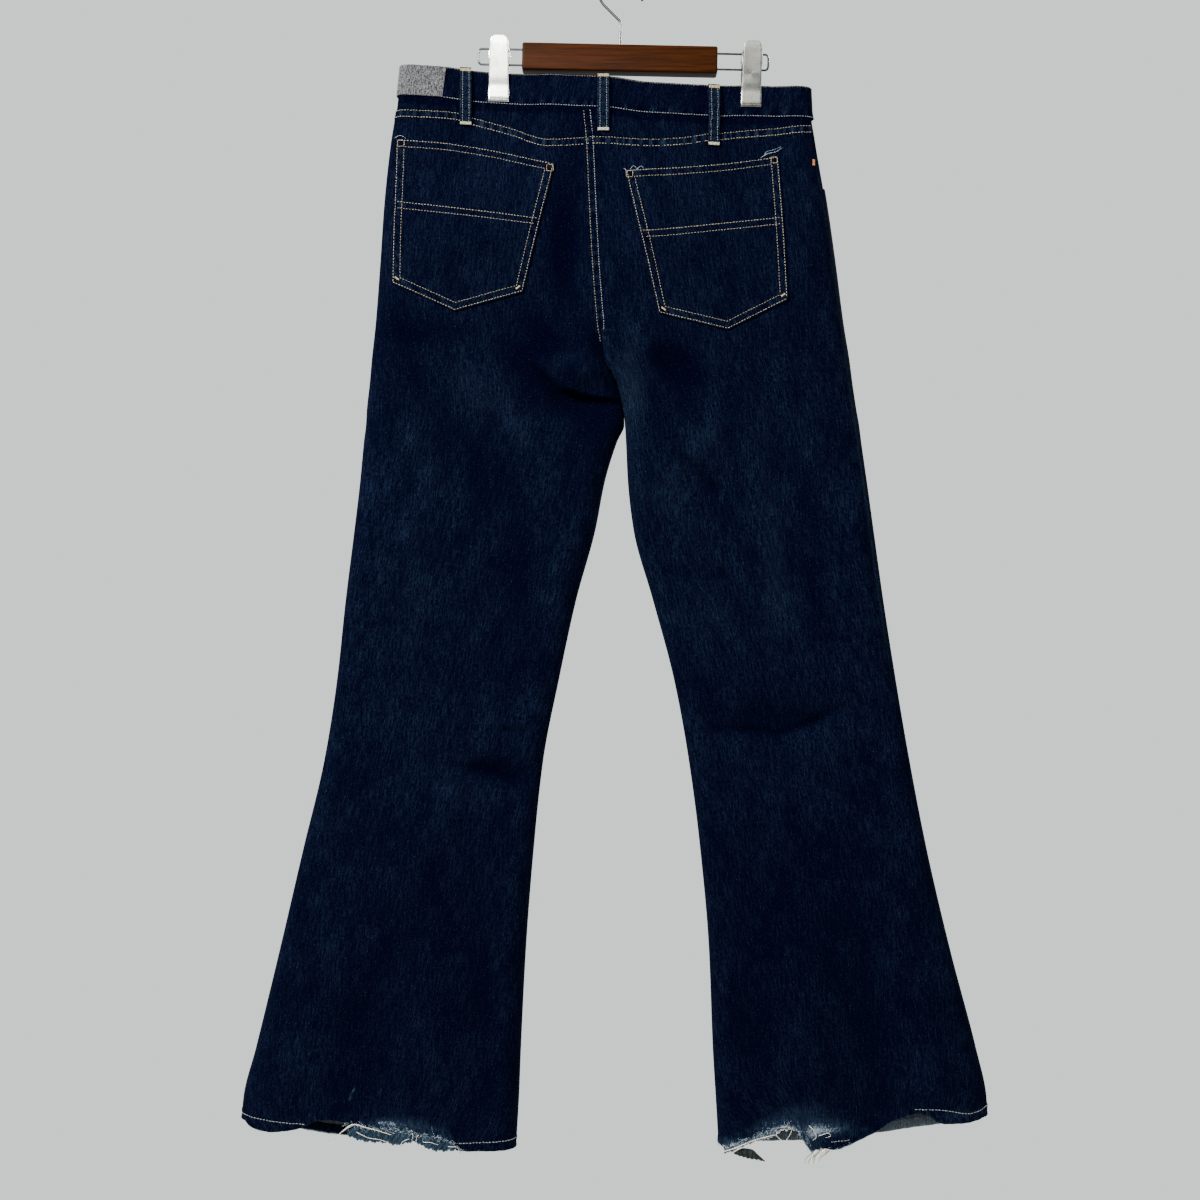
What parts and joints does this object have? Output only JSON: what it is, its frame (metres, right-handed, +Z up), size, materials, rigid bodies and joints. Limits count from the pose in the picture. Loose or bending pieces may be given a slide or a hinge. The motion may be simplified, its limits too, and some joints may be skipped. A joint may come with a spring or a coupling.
{
  "type": "bootcut jeans on a clip hanger",
  "caption": "Full-length flared denim jeans with a waistband, yokes, patch pockets and belt loops, hanging flat by the waist from a wooden bar hanger with metal clips.",
  "frame": {"origin": "the inner top of the hook's arc, where the rail that holds it lies", "axes": "+Z up; the back of the jeans faces -Y and the front +Y; the wearer's left is at -X"},
  "size_m": [0.7732, 0.0447, 1.2265],
  "materials": {
    "denim": "dark indigo twill, matt, pale worn threads",
    "grey_weave": "grey woven cloth, matt",
    "button": "aged copper plate, satin",
    "stained_wood": "walnut stain under satin lacquer",
    "wire": "polished chrome wire",
    "clip_metal": "brushed, satin"
  },
  "bodies": {
    "root": {"waistband": "denim", "yoke_left": "denim", "yoke_right": "denim", "back_leg_left": "denim", "back_leg_right": "denim", "front_leg_left": "denim", "front_leg_right": "denim", "back_pocket_left": "denim", "back_pocket_right": "denim", "front_pocket_facing_left": "denim", "front_pocket_facing_right": "denim", "fly_flap": "denim", "belt_loop_back_left": "denim", "belt_loop_back_centre": "denim", "belt_loop_back_right": "denim", "belt_loop_front_left": "denim", "belt_loop_front_right": "denim", "waistband_patch": "grey_weave", "waist_button": "button", "hanger_bar": "stained_wood", "hanger_hook": "wire", "hanger_rail_left": "wire", "hanger_rail_right": "wire", "clip_left_back": "clip_metal", "clip_left_front": "clip_metal", "clip_left_pin": "clip_metal", "clip_right_back": "clip_metal", "clip_right_front": "clip_metal", "clip_right_pin": "clip_metal"}
  },
  "joints": []
}
